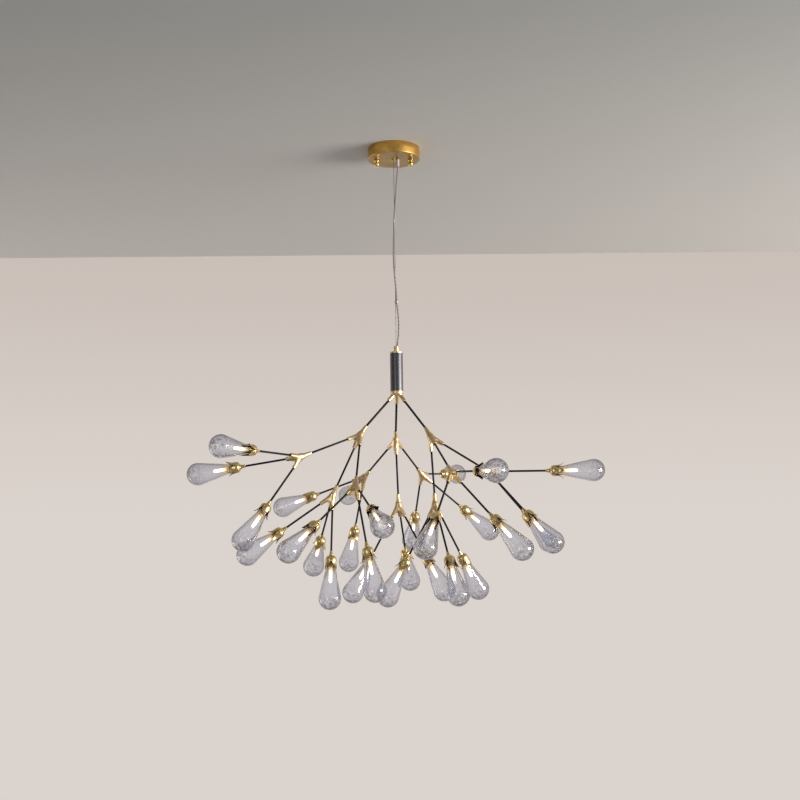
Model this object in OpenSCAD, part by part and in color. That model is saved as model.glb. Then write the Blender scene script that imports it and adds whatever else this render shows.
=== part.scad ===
// Hanging lamp of forked rods. The ceiling is at z = 0 and everything hangs below it. Three main
// rods leave the hub under the stem. Each ends in a cast three-way joint, each joint carries three
// branch rods with a joint of their own, and each of those carries three lamps.

/* [Canopy] */
// Outer diameter of the canopy
canopy_d = 120; // [108:1:150]
// Depth of the canopy below the ceiling
canopy_h = 26; // [24:1:36]
// Sheet thickness of the canopy
canopy_wall = 1.2; // [1:0.1:2]
// Outer radius of the canopy's lower edge
canopy_edge_r = 3; // [2.5:0.5:5]
// Distance between the two hanging studs
stud_spacing = 78; // [70:1:84]
// Diameter of the hanging studs
stud_d = 4; // [3:0.5:5]
// Diameter of the round cap nuts
cap_nut_d = 12.5; // [10:0.5:15]
// Height of the cap nuts
cap_nut_h = 16; // [12:0.5:18]
// Length of the ceiling bracket
bracket_l = 98; // [94:1:102]
// Width of the ceiling bracket
bracket_w = 20; // [16:1:24]
// Thickness of the ceiling bracket
bracket_t = 2; // [1.5:0.5:3]
// Diameter of the bracket's two screw holes
screw_hole_d = 5; // [4:0.5:6]
// Distance between the screw holes
screw_spacing = 54; // [50:1:60]
// Length of the terminal block along the bracket
terminal_l = 26; // [20:1:30]

/* [Cable and cord] */
// Diameter of the steel cable
cable_d = 1.5; // [1.2:0.1:1.8]
// Outer diameter of the ball cup which carries the cable
ball_d = 5; // [4.8:0.1:5.4]
// Diameter of the supply cord
cord_d = 3.6; // [3:0.1:3.8]
// Outer diameter of the clear cord sleeve
sleeve_d = 6.4; // [5.8:0.2:7]
// Height of each cord tie
tie_h = 6; // [4:0.5:8]
// Outer diameter of the brass cable fitting's flange
fitting_d = 9.6; // [9:0.2:10.4]

/* [Stem and hub] */
// Drop from the ceiling to the centre of the hub
hub_drop = 566; // [540:1:700]
// Outer diameter of the stem tube
stem_d = 29.2; // [28:0.2:34]
// Length of the stem tube
stem_l = 86; // [76:1:110]
// Wall of the stem tube
stem_wall = 1.4; // [1:0.1:2]
// Thickness of the brass cap on the stem
cap_t = 3; // [2:0.5:5]
// Outer diameter of the cable gripper
gripper_d = 11.6; // [11:0.2:14]
// Height of the cable gripper above the cap
gripper_h = 14; // [11:0.5:18]
// Diameter of the connector block in the stem
connector_d = 19; // [14:0.5:22]
// Height of the connector block
connector_h = 26; // [18:1:34]
// Depth of the hub's cone below the tube
hub_cone_h = 7; // [5:0.5:9]
// Diameter of the hub's three sockets
socket_d = 9.6; // [8.6:0.2:11]
// Distance from the centre of the hub to the end of a socket
socket_reach = 33; // [29:1:40]

/* [Rods] */
// Diameter of the main rods
main_rod_d = 5; // [4:0.1:5.4]
// Diameter of the branch and lamp rods
rod_d = 4.4; // [3.6:0.1:5]
// Distance from the centre of the hub to a main joint
main_run = 115; // [105:1:140]
// Free length of a branch rod
branch_run = 91; // [80:1:120]
// Free length of a lamp rod
lamp_run = 90; // [80:1:120]

/* [Three-way joint] */
// Diameter of the joint's neck
neck_d = 9.2; // [8.6:0.1:10.4]
// Straight length of the neck
neck_l = 12; // [10:0.5:15]
// Diameter of the joint's three arms
arm_d = 8.6; // [8:0.1:10]
// Distance from the joint's inlet to its arm ends, along its axis
arm_rise = 53; // [48:0.5:60]
// Distance of the arm ends from the joint's axis
arm_out = 18; // [16:0.5:20]
// Splay of the arms
arm_splay = 32; // [28:1:36]
// Thickness of the bell between the arms
web_t = 5.6; // [4:0.2:7]
// Radius of the joint's body between two arms
core_r = 8.8; // [8:0.2:10]
// Depth of the bores for the rods
bore_depth = 10; // [8:0.5:14]

/* [Lamp] */
// Diameter of the calyx cup
cup_d = 23.4; // [22.6:0.2:26]
// Length of the calyx's cone neck
cone_l = 8; // [6:0.5:10]
// Distance from the rod end to the petal tips
petal_reach = 39; // [35:0.5:44]
// Diameter across the petal tips
petal_d = 30; // [27:0.5:34]
// Sheet thickness of the calyx
calyx_wall = 1.2; // [1:0.1:1.5]
// Outer diameter of the glass drop
shade_d = 49; // [44:0.5:56]
// Distance from the rod end to the centre of the drop's round end
shade_reach = 104; // [98:1:120]
// Outer diameter of the glass at its neck
shade_neck_d = 19.6; // [18.8:0.2:20]
// Half angle of the drop's cone
shade_taper = 12; // [11:0.5:13]
// Wall of the glass
shade_wall = 1.6; // [1.2:0.1:2]
// Diameter of the capsule lamp
led_d = 8; // [7:0.5:10]
// Length of the lighted capsule
led_l = 31; // [24:1:36]

/* [Layout] */
// Splay of the left, rear and right main rods from the vertical
main_splay = [44, 45.5, 40];
// Heading of the left, rear and right main rods, from +X towards +Y
main_turn = [211, 92.5, 326];
// Angle by which a main joint's neck is drilled off its axis
neck_skew = 6.5; // [0:0.5:7]
// Turn of the left, rear and right main joints on their rods
main_roll = [69, 116, 6];
// Turn of the three branch joints at each main joint
branch_roll = [[28, 66, 116], [90, 78, 75], [96, 34, 80]];

/* [Hidden] */
$fn = 48;
// Radial clearance of a part that turns or slides on another
running_fit = 0.05;
// Gap between pieces that are fixed to each other
seat_gap = 0.1;
// Gap at the bottom of a bore, below a rod's end
bore_end_gap = 0.2;
// Length by which a cut runs past the face that it opens
over = 1;

brass = [0.78, 0.6, 0.3];
canopy_brass = [0.72, 0.55, 0.27];
satin_black = [0.07, 0.07, 0.08];
steel = [0.7, 0.7, 0.72];
clear_skin = [0.85, 0.87, 0.88, 0.6];
smoked_glass = [0.55, 0.53, 0.58, 0.4];
cream = [0.93, 0.89, 0.78];
warm_white = [1, 0.95, 0.8];

// Stem and gripper, from the hub upwards
hub_z = -hub_drop;
cap_z = hub_z + stem_l;
gripper_z = cap_z + cap_t;
gripper_top_z = gripper_z + gripper_h;
tube_bore_r = stem_d / 2 - stem_wall;
spigot_r = tube_bore_r - seat_gap;
spigot_h = 6;
gripper_neck_r = 4.5;
gripper_nut_r = 7.5;
gripper_nut_h = 4;
gripper_neck_end = 1;
gripper_neck_z = cap_z - spigot_h - gripper_nut_h - gripper_neck_end;
cable_tail = 6;
cable_bottom_z = gripper_neck_z - cable_tail;
cable_hole_r = cable_d / 2 + running_fit;
cord_hole_r = cord_d / 2 + seat_gap;

// Cable fitting in the canopy floor
canopy_floor_z = -canopy_h;
pivot_rise = 3;
pivot_z = canopy_floor_z + pivot_rise;
fitting_flange_h = 3;
fitting_neck_r = 3.7;
fitting_cup_h = 4;
fitting_top_z = pivot_z + fitting_cup_h;
fitting_nut_r = 4.7;
fitting_nut_h = 3;
swing_room = 1.2;
cable_end_r = 1.65;
cup_throat_r = 1.25;

// Route of the supply cord: out of its sleeve, across the front of the cable, round its left side
// and back to the right-hand side of the gripper
cord_route = [
  [9, 0, -20], [9, 0, -48], [7.6, -0.6, -62], [5.6, -1.6, -84], [4.4, -2.4, -104],
  [2.8, -3, -122], [0.6, -3.4, -148], [-1, -2.9, -172], [-2.2, -3.2, -206], [-3.2, -3.2, -240],
  [-3, -3.4, -272], [-0.6, -3.6, -308], [1.8, -2.6, -338], [2.8, -1, -361], [5.2, 0.4, -388],
  [6.4, 1, -412], [5.6, 0.8, -436], [3.4, 0, -456], [3.2, 0, -470]
];
cord_end = cord_route[len(cord_route) - 1];
cord_steps = 3;
cord_sides = 8;
sleeve_x = cord_route[0][0];
sleeve_top_z = -21;
sleeve_bottom_z = -43;
cord_floor_hole_r = sleeve_d / 2 + swing_room;
tie_points = [cord_route[7], cord_route[13]];
tie_wall = 0.9;
tie_cord_gap = 0.3;

// Three-way joint, worked out in the plane of one arm, with the inlet at the origin and the axis up
arm_cos = cos(arm_splay);
arm_sin = sin(arm_splay);
arm_meet = arm_rise - arm_out / tan(arm_splay);
neck_r = neck_d / 2;
arm_r = arm_d / 2;
bell_r = ((arm_rise - neck_l) * arm_sin - arm_out * arm_cos - web_t / 2) / (1 - arm_cos)
  + neck_r * arm_cos / (1 - arm_cos);
bell_inset = 2.5;
bell_reach = arm_out - bell_inset;
star_dist = 40;
star_r = star_dist - core_r;
dome_r = 5;
socket_inset = 1;
socket_l = arm_out / arm_sin - socket_inset;

// Lamp head, along the axis of its rod from the rod's end
cup_r = cup_d / 2;
cup_top = 18;
cup_rim = 27;
sleeve_r = 3.3;
cone_r = 4.8;
cup_floor = 15;
shade_r = shade_d / 2;
shade_neck_r = shade_neck_d / 2;
shade_neck_end = 28;
shade_start = 19;
holder_foot_h = 6;
holder_gap = 0.5;
holder_foot_r = shade_neck_r - shade_wall - holder_gap;
holder_boss_r = 5.4;
holder_top = 35;
led_base_h = 4;
taper_cos = cos(shade_taper);
taper_sin = sin(shade_taper);
shade_fillet = (shade_neck_r * taper_cos - shade_neck_end * taper_sin
  - (shade_r - shade_reach * taper_sin)) / (1 - taper_cos);
petal_side_r = 24;
petal_blunt = 0.6;
petal_belly = 0.3;

// Points of an arc round c with radius r, from one angle to the other in n steps
function arc_points(c, r, from, to, n) =
  [for (i = [0:n]) let (a = from + (to - from) * i / n) c + r * [cos(a), sin(a)]];

// A point of the smooth curve through the points p, at the share t of span i
function spline(p, i, t) =
  let (
    last = len(p) - 1,
    a = p[max(i - 1, 0)],
    b = p[i],
    c = p[min(i + 1, last)],
    d = p[min(i + 2, last)]
  )
  0.5 * (2 * b + (c - a) * t + (2 * a - 5 * b + 4 * c - d) * t * t
    + (3 * b - a - 3 * c + d) * t * t * t);

// The ring of a tube of radius r round the point q, square to the direction d
function ring(q, d, r, sides) =
  let (
    w = d / norm(d),
    u = cross([0, 1, 0], w) / norm(cross([0, 1, 0], w)),
    v = cross(w, u)
  )
  [for (s = [0:sides - 1]) q + r * (cos(360 * s / sides) * u + sin(360 * s / sides) * v)];

// Tube of diameter d swept along the route p as one closed solid
module swept_tube(p, d, steps, sides) {
  line = concat(
    [for (i = [0:len(p) - 2]) for (s = [0:steps - 1]) spline(p, i, s / steps)],
    [p[len(p) - 1]]
  );
  last = len(line) - 1;
  heading = [for (i = [0:last]) line[min(i + 1, last)] - line[max(i - 1, 0)]];
  points = [for (i = [0:last]) each ring(line[i], heading[i], d / 2, sides)];
  walls = [
    for (i = [0:last - 1]) for (s = [0:sides - 1])
      let (t = (s + 1) % sides)
      each [
        [i * sides + s, (i + 1) * sides + t, i * sides + t],
        [i * sides + s, (i + 1) * sides + s, (i + 1) * sides + t]
      ]
  ];
  bottom = [[for (s = [0:sides - 1]) s]];
  top = [[for (s = [0:sides - 1]) last * sides + sides - 1 - s]];
  polyhedron(points, concat(walls, bottom, top));
}

// Frame of main rod i: its origin is the centre of the hub and its z axis runs along the rod
module at_main_rod(i) {
  translate([0, 0, hub_z]) rotate([0, 0, main_turn[i]]) rotate([0, 180 - main_splay[i], 0]) children();
}

// Frame of main joint i: its origin is the joint's inlet and its z axis is the joint's axis
module at_main_joint(i) {
  at_main_rod(i) translate([0, 0, main_run]) rotate([0, neck_skew, 0]) rotate([0, 0, main_roll[i]])
    children();
}

// Frame of arm k of a joint: its origin is the arm's end and its z axis points out of the arm
module at_arm(k) {
  rotate([0, 0, 120 * k]) translate([arm_out, 0, arm_rise]) rotate([0, arm_splay, 0]) children();
}

// Frame of branch joint j at main joint i
module at_branch_joint(i, j) {
  at_main_joint(i) at_arm(j) translate([0, 0, branch_run]) rotate([0, 0, branch_roll[i][j]]) children();
}

// Frame of the lamp on arm k of branch joint j: its origin is the end of the rod
module at_lamp(i, j, k) {
  at_branch_joint(i, j) at_arm(k) translate([0, 0, lamp_run]) children();
}

// Every lamp of main rod i, or those of its cluster j
module each_lamp(i, clusters = [0:2]) {
  for (j = clusters) for (k = [0:2]) at_lamp(i, j, k) children();
}

module ceiling_bracket() {
  color(steel)
    difference() {
      translate([-bracket_l / 2, -bracket_w / 2, -bracket_t]) cube([bracket_l, bracket_w, bracket_t]);
      for (side = [-1, 1]) {
        translate([side * screw_spacing / 2, 0, -bracket_t - over])
          cylinder(d = screw_hole_d, h = bracket_t + 2 * over);
        translate([side * stud_spacing / 2, 0, -bracket_t - over])
          cylinder(d = stud_d + 2 * seat_gap, h = bracket_t + 2 * over);
      }
    }
}

module bracket_studs() {
  head_h = 3;
  nut_end_gap = 5;
  ceiling_gap = 0.3;
  color(steel)
    for (side = [-1, 1]) translate([side * stud_spacing / 2, 0, 0])
      union() {
        translate([0, 0, canopy_floor_z - cap_nut_h + nut_end_gap])
          cylinder(d = stud_d, h = canopy_h + cap_nut_h - nut_end_gap - ceiling_gap);
        translate([0, 0, -bracket_t - seat_gap - head_h]) cylinder(r = stud_d, h = head_h, $fn = 6);
      }
}

// Half section of the canopy's outside or, with a positive inset, of its inside
module canopy_section(inset) {
  r = canopy_d / 2 - inset;
  edge = canopy_edge_r - inset;
  floor_z = canopy_floor_z + inset;
  top = inset > 0 ? over : 0;
  union() {
    translate([0, floor_z]) square([r - edge, top - floor_z]);
    translate([0, floor_z + edge]) square([r, top - floor_z - edge]);
    translate([r - edge, floor_z + edge]) circle(edge);
  }
}

module canopy_cup() {
  stud_hole_gap = 0.3;
  color(canopy_brass)
    difference() {
      rotate_extrude() difference() {
        canopy_section(0);
        canopy_section(canopy_wall);
      }
      translate([0, 0, canopy_floor_z - over])
        cylinder(r = fitting_neck_r + seat_gap, h = canopy_wall + 2 * over);
      translate([sleeve_x, 0, canopy_floor_z - over])
        cylinder(r = cord_floor_hole_r, h = canopy_wall + 2 * over);
      for (side = [-1, 1]) translate([side * stud_spacing / 2, 0, canopy_floor_z - over])
        cylinder(d = stud_d + 2 * stud_hole_gap, h = canopy_wall + 2 * over);
    }
}

// Round cap nut: a wide seat, a waist and a domed end
module cap_nut(side) {
  r = cap_nut_d / 2;
  waist_inset = 1.1;
  waist = r - waist_inset;
  seat_h = 3;
  dome_share = 1.05;
  dome_r = waist * dome_share;
  end_t = 4.5;
  color(brass) translate([side * stud_spacing / 2, 0, canopy_floor_z - seat_gap])
    difference() {
      union() {
        translate([0, 0, -seat_h]) cylinder(r = r, h = seat_h);
        translate([0, 0, -cap_nut_h + dome_r]) cylinder(r = waist, h = cap_nut_h - dome_r - over);
        intersection() {
          translate([0, 0, -cap_nut_h + dome_r]) sphere(dome_r);
          translate([0, 0, -cap_nut_h - over]) cylinder(r = waist, h = dome_r + over);
        }
      }
      translate([0, 0, -cap_nut_h + end_t]) cylinder(d = stud_d + 2 * running_fit, h = cap_nut_h);
    }
}

// Brass bush with a ball seat: a flange under the canopy floor, a neck through it and a nut inside
module cable_fitting() {
  color(brass)
    difference() {
      union() {
        translate([0, 0, canopy_floor_z - seat_gap - fitting_flange_h])
          cylinder(d = fitting_d, h = fitting_flange_h);
        translate([0, 0, canopy_floor_z - seat_gap - over])
          cylinder(r = fitting_neck_r, h = fitting_top_z - canopy_floor_z + over);
        translate([0, 0, canopy_floor_z + canopy_wall + seat_gap])
          cylinder(r = fitting_nut_r, h = fitting_nut_h);
      }
      translate([0, 0, pivot_z]) sphere(d = ball_d + 2 * running_fit);
      translate([0, 0, pivot_z]) cylinder(d = ball_d + 2 * running_fit, h = canopy_h);
      translate([0, 0, canopy_floor_z - seat_gap - fitting_flange_h - over])
        cylinder(r = cable_d / 2 + swing_room, h = fitting_flange_h + pivot_rise + ball_d / 2);
    }
}

module terminal_block() {
  block_h = 12;
  block_inset = 2;
  terminals = 3;
  wire_hole_d = 4.4;
  color(cream)
    translate([-terminal_l / 2, -bracket_w / 2 + block_inset, -bracket_t - seat_gap - block_h])
      difference() {
        cube([terminal_l, bracket_w - 2 * block_inset, block_h]);
        for (n = [0:terminals - 1]) translate([terminal_l * (n + 0.5) / terminals, -over, block_h / 2])
          rotate([-90, 0, 0]) cylinder(d = wire_hole_d, h = bracket_w);
      }
}

// Ball cup: a ball, hollow and open at the top, which carries the cable's own ball end
module cable_ball() {
  color(steel)
    difference() {
      translate([0, 0, pivot_z]) sphere(d = ball_d);
      translate([0, 0, pivot_z]) sphere(r = cable_end_r + running_fit);
      translate([0, 0, pivot_z]) cylinder(r = cable_end_r + running_fit, h = ball_d);
      translate([0, 0, pivot_z - ball_d]) cylinder(r = cup_throat_r, h = ball_d);
    }
}

module suspension_cable() {
  color(steel)
    union() {
      translate([0, 0, cable_bottom_z]) cylinder(d = cable_d, h = pivot_z - cable_bottom_z);
      translate([0, 0, pivot_z]) sphere(r = cable_end_r);
    }
}

module power_cord() {
  color(clear_skin) swept_tube(cord_route, cord_d, cord_steps, cord_sides);
}

// Clear ties, each a small figure of eight round the cable and the cord
module cord_ties() {
  color(clear_skin)
    for (p = tie_points) {
      gap = norm([p[0], p[1]]);
      translate([0, 0, p[2] - tie_h / 2]) rotate([0, 0, atan2(p[1], p[0])])
        linear_extrude(tie_h) difference() {
          union() {
            circle(cable_d / 2 + tie_wall);
            translate([gap, 0]) circle(cord_d / 2 + tie_wall + tie_cord_gap);
          }
          circle(cable_hole_r);
          translate([gap, 0]) circle(cord_d / 2 + tie_cord_gap);
        }
    }
}

module cord_sleeve() {
  color(clear_skin)
    translate([sleeve_x, 0, sleeve_bottom_z])
      difference() {
        cylinder(d = sleeve_d, h = sleeve_top_z - sleeve_bottom_z);
        translate([0, 0, -over])
          cylinder(r = cord_hole_r, h = sleeve_top_z - sleeve_bottom_z + 2 * over);
      }
}

// Brass gland: a body with a turned groove over the cap and a neck through it, with a hole for the
// cable and one for the cord
module cable_gripper() {
  r = gripper_d / 2;
  groove_r = r - 0.7;
  head_r = r - 0.2;
  head_top_r = r - 0.3;
  crown_r = r - 0.6;
  body_z = gripper_z + 5;
  groove_z = gripper_z + 5.6;
  groove_top_z = gripper_z + 6.6;
  head_z = gripper_z + 7.2;
  crown_z = gripper_top_z - 0.8;
  color(brass)
    difference() {
      union() {
        rotate_extrude() polygon([
          [0, gripper_z + seat_gap], [r, gripper_z + seat_gap], [r, body_z], [groove_r, groove_z],
          [groove_r, groove_top_z], [head_r, head_z], [head_top_r, crown_z],
          [crown_r, gripper_top_z], [0, gripper_top_z]
        ]);
        translate([0, 0, gripper_neck_z])
          cylinder(r = gripper_neck_r, h = gripper_z + over - gripper_neck_z);
      }
      translate([0, 0, gripper_neck_z - over])
        cylinder(r = cable_hole_r, h = gripper_top_z - gripper_neck_z + 2 * over);
      translate([cord_end[0], 0, cord_end[2] - seat_gap]) cylinder(r = cord_hole_r, h = gripper_h);
    }
}

module gripper_nut() {
  top = cap_z - spigot_h - seat_gap;
  color(steel)
    difference() {
      translate([0, 0, top - gripper_nut_h]) cylinder(r = gripper_nut_r, h = gripper_nut_h, $fn = 6);
      translate([0, 0, top - gripper_nut_h - over])
        cylinder(r = gripper_neck_r + seat_gap, h = gripper_nut_h + 2 * over);
    }
}

module stem_cap() {
  color(brass)
    difference() {
      union() {
        translate([0, 0, cap_z]) cylinder(d = stem_d, h = cap_t);
        translate([0, 0, cap_z - spigot_h]) cylinder(r = spigot_r, h = spigot_h + over);
      }
      translate([0, 0, cap_z - spigot_h - over])
        cylinder(r = gripper_neck_r + running_fit, h = spigot_h + cap_t + 2 * over);
    }
}

module stem_tube() {
  color(satin_black)
    translate([0, 0, hub_z + seat_gap]) difference() {
      cylinder(d = stem_d, h = stem_l - 2 * seat_gap);
      translate([0, 0, -over]) cylinder(r = tube_bore_r, h = stem_l + 2 * over);
    }
}

module stem_connector() {
  wire_hole_d = 3;
  wire_ring_r = connector_d / 3.6;
  color(cream)
    translate([0, 0, hub_z + spigot_h + seat_gap]) difference() {
      cylinder(d = connector_d, h = connector_h);
      for (k = [0:2]) rotate([0, 0, 120 * k]) translate([wire_ring_r, 0, connector_h / 2])
        cylinder(d = wire_hole_d, h = connector_h);
    }
}

// Brass cone under the tube, with three sockets drilled in line with the main rods
module hub_casting() {
  rim_h = 1.6;
  nose_r = 7;
  nose_ball_r = nose_r * 0.8;
  socket_start = 5;
  color(brass)
    difference() {
      union() {
        rotate_extrude() polygon([
          [0, hub_z + spigot_h], [spigot_r, hub_z + spigot_h], [spigot_r, hub_z],
          [stem_d / 2, hub_z], [stem_d / 2, hub_z - rim_h], [nose_r, hub_z - hub_cone_h],
          [0, hub_z - hub_cone_h]
        ]);
        translate([0, 0, hub_z - hub_cone_h]) sphere(nose_ball_r);
        for (i = [0:2]) at_main_rod(i) translate([0, 0, socket_start])
          cylinder(d = socket_d, h = socket_reach - socket_start);
      }
      for (i = [0:2]) at_main_rod(i) translate([0, 0, socket_reach - bore_depth])
        cylinder(d = main_rod_d + 2 * seat_gap, h = bore_depth + over);
    }
}

module main_rod(i) {
  start = socket_reach - bore_depth + bore_end_gap;
  color(satin_black) at_main_rod(i) translate([0, 0, start])
    cylinder(d = main_rod_d, h = main_run + bore_depth - bore_end_gap - start);
}

// Half section of the joint's bell: from the neck out along the arms, hollow underneath
module bell_section() {
  half = web_t / 2;
  dome_z = arm_meet + half / arm_sin + dome_r / arm_sin;
  flare = arc_points([neck_r + bell_r, neck_l], bell_r, 180, 180 - arm_splay, 8);
  outer_tip = [arm_out + half * arm_cos, arm_rise - half * arm_sin];
  inner_tip = [arm_out - half * arm_cos, arm_rise + half * arm_sin];
  dome = arc_points([0, dome_z], dome_r, -arm_splay, -90, 5);
  intersection() {
    polygon(concat([[0, 0], [neck_r, 0]], flare, [outer_tip, inner_tip], dome));
    square([bell_reach, arm_rise]);
  }
}

// One cast three-way joint without its inlet bore: the bell hollowed between its arms, and a
// socket on each arm
module three_way() {
  difference() {
    union() {
      difference() {
        rotate_extrude() bell_section();
        for (k = [0:2]) rotate([0, 0, 60 + 120 * k]) translate([star_dist, 0, -over])
          cylinder(r = star_r, h = arm_rise + 2 * over, $fn = 96);
      }
      for (k = [0:2]) at_arm(k) translate([0, 0, -socket_l]) cylinder(d = arm_d, h = socket_l);
    }
    for (k = [0:2]) at_arm(k) translate([0, 0, -bore_depth])
      cylinder(d = rod_d + 2 * seat_gap, h = bore_depth + over);
  }
}

// The neck of a main joint is drilled along its rod, which meets the joint's axis at the inlet
module main_joint(i) {
  color(brass) difference() {
    at_main_joint(i) three_way();
    at_main_rod(i) translate([0, 0, main_run - 2 * over])
      cylinder(d = main_rod_d + 2 * seat_gap, h = bore_depth + 2 * over);
  }
}

module branch_rods(i) {
  color(satin_black)
    for (j = [0:2]) at_main_joint(i) at_arm(j) translate([0, 0, bore_end_gap - bore_depth])
      cylinder(d = rod_d, h = branch_run + 2 * (bore_depth - bore_end_gap));
}

module branch_joints(i) {
  color(brass)
    for (j = [0:2]) at_branch_joint(i, j) difference() {
      three_way();
      translate([0, 0, -over]) cylinder(d = rod_d + 2 * seat_gap, h = bore_depth + over);
    }
}

module lamp_rods(i) {
  color(satin_black)
    for (j = [0:2]) for (k = [0:2]) at_branch_joint(i, j) at_arm(k)
      translate([0, 0, bore_end_gap - bore_depth])
        cylinder(d = rod_d, h = lamp_run + bore_depth + cone_l - 2 * bore_end_gap);
}

// Half section of the calyx's petals, drawn in by an inset
module petal_section(inset) {
  r = cup_r - inset;
  flare = petal_d / 2 - cup_r;
  polygon([
    [0, cup_rim], [r, cup_rim], [r + flare * petal_belly, (cup_rim + petal_reach) / 2],
    [r + flare, petal_reach], [r + flare, petal_reach + inset], [0, petal_reach + inset]
  ]);
}

// Half section of the calyx's outside: cone neck, round shoulder, cup and petals
module calyx_section() {
  shoulder = 7;
  intersection() {
    union() {
      polygon([[0, 0], [sleeve_r, 0], [cone_r, cone_l], [cone_r, cup_top], [0, cup_top]]);
      translate([cup_r - shoulder, cup_top]) circle(shoulder);
      translate([0, cup_top]) square([cup_r, cup_rim - cup_top]);
      petal_section(0);
    }
    square([petal_d, petal_reach + over]);
  }
}

// Half section of the calyx's inside, open at the petals
module calyx_cavity() {
  r = cup_r - calyx_wall;
  corner = 4;
  union() {
    translate([0, cup_floor]) square([r - corner, cup_rim - cup_floor]);
    translate([r - corner, cup_floor + corner]) circle(corner);
    translate([0, cup_floor + corner]) square([r, cup_rim - cup_floor - corner]);
    petal_section(calyx_wall);
  }
}

// Gap between two petals, seen along the radius: it widens from a point at the cup's rim, and the
// petals' sides bulge into it and leave each tip a little blunt
module petal_gap() {
  half = petal_d / 2 * sin(45) - petal_blunt;
  rise = petal_reach - cup_rim;
  chord = norm([half, rise]);
  away = sqrt(petal_side_r * petal_side_r - chord * chord / 4);
  centre = [half / 2, rise / 2] + away * [rise, -half] / chord;
  difference() {
    polygon([[0, 0], [half, rise], [half, rise + over], [-half, rise + over], [-half, rise]]);
    for (side = [-1, 1]) translate([side * centre[0], centre[1]]) circle(petal_side_r, $fn = 96);
  }
}

// Two petal gaps opposite each other
module petal_gap_pair(turn) {
  gap_start = 5;
  for (k = [0:1]) rotate([0, 0, turn + 180 * k]) translate([gap_start, 0, cup_rim])
    rotate([90, 0, 90]) linear_extrude(petal_d / 2) petal_gap();
}

module calyx() {
  difference() {
    difference() {
      rotate_extrude() difference() {
        calyx_section();
        calyx_cavity();
      }
      petal_gap_pair(45);
    }
    petal_gap_pair(135);
    translate([0, 0, -over]) cylinder(d = rod_d + 2 * seat_gap, h = cone_l + over);
  }
}

module lamp_holder() {
  foot = cup_floor + seat_gap;
  union() {
    translate([0, 0, foot]) cylinder(r = holder_foot_r, h = holder_foot_h);
    translate([0, 0, foot]) cylinder(r = holder_boss_r, h = holder_top - foot);
  }
}

module led_lamp() {
  base = holder_top + seat_gap;
  base_d = led_d + 0.8;
  tip = base + led_base_h + led_l - led_d / 2;
  union() {
    translate([0, 0, base]) cylinder(d = base_d, h = led_base_h);
    translate([0, 0, base]) cylinder(d = led_d, h = tip - base);
    translate([0, 0, tip]) sphere(d = led_d);
  }
}

// Half section of the glass drop, drawn in by an inset: neck, flare, cone and round end
module shade_section(inset) {
  r = shade_r - inset;
  neck = shade_neck_r - inset;
  fillet = shade_fillet + inset;
  start = shade_start - (inset > 0 ? over : 0);
  flare = [neck + fillet * (1 - taper_cos), shade_neck_end + fillet * taper_sin];
  touch = [r * taper_cos, shade_reach - r * taper_sin];
  union() {
    translate([0, start]) square([neck, shade_neck_end - start]);
    difference() {
      polygon([[0, shade_neck_end], [neck, shade_neck_end], flare, touch, [0, touch[1]]]);
      translate([neck + fillet, shade_neck_end]) circle(fillet, $fn = 96);
    }
    intersection() {
      translate([0, shade_reach]) circle(r, $fn = 96);
      translate([0, touch[1]]) square([r + over, 2 * r]);
    }
  }
}

module shade() {
  rotate_extrude() intersection() {
    difference() {
      shade_section(0);
      shade_section(shade_wall);
    }
    square([shade_r + over, shade_reach + shade_r + over]);
  }
}

module calyxes(i, j) {
  color(brass) each_lamp(i, [j]) calyx();
}

module lamp_holders(i) {
  color(cream) each_lamp(i) lamp_holder();
}

module led_lamps(i) {
  color(warm_white) each_lamp(i) led_lamp();
}

module shades(i, j) {
  color(smoked_glass) each_lamp(i, [j]) shade();
}

ceiling_bracket();
bracket_studs();
canopy_cup();
cap_nut(-1);  // left_cap_nut
cap_nut(1);  // right_cap_nut
cable_fitting();
terminal_block();
cable_ball();
suspension_cable();
power_cord();
cord_ties();
cord_sleeve();
cable_gripper();
gripper_nut();
stem_cap();
stem_tube();
stem_connector();
hub_casting();
main_rod(0);  // left_main_rod
main_rod(1);  // rear_main_rod
main_rod(2);  // right_main_rod
main_joint(0);  // left_main_joint
main_joint(1);  // rear_main_joint
main_joint(2);  // right_main_joint
branch_rods(0);  // left_branch_rods
branch_rods(1);  // rear_branch_rods
branch_rods(2);  // right_branch_rods
branch_joints(0);  // left_branch_joints
branch_joints(1);  // rear_branch_joints
branch_joints(2);  // right_branch_joints
lamp_rods(0);  // left_lamp_rods
lamp_rods(1);  // rear_lamp_rods
lamp_rods(2);  // right_lamp_rods
calyxes(0, 0);  // left_calyxes_a
calyxes(0, 1);  // left_calyxes_b
calyxes(0, 2);  // left_calyxes_c
calyxes(1, 0);  // rear_calyxes_a
calyxes(1, 1);  // rear_calyxes_b
calyxes(1, 2);  // rear_calyxes_c
calyxes(2, 0);  // right_calyxes_a
calyxes(2, 1);  // right_calyxes_b
calyxes(2, 2);  // right_calyxes_c
lamp_holders(0);  // left_lamp_holders
lamp_holders(1);  // rear_lamp_holders
lamp_holders(2);  // right_lamp_holders
led_lamps(0);  // left_led_lamps
led_lamps(1);  // rear_led_lamps
led_lamps(2);  // right_led_lamps
shades(0, 0);  // left_shades_a
shades(0, 1);  // left_shades_b
shades(0, 2);  // left_shades_c
shades(1, 0);  // rear_shades_a
shades(1, 1);  // rear_shades_b
shades(1, 2);  // rear_shades_c
shades(2, 0);  // right_shades_a
shades(2, 1);  // right_shades_b
shades(2, 2);  // right_shades_c
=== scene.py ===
"""Hanging lamp of forked black rods, cast brass joints and smoked glass drops, in metres."""

import bpy
import numpy as np
from mathutils import Matrix


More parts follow.
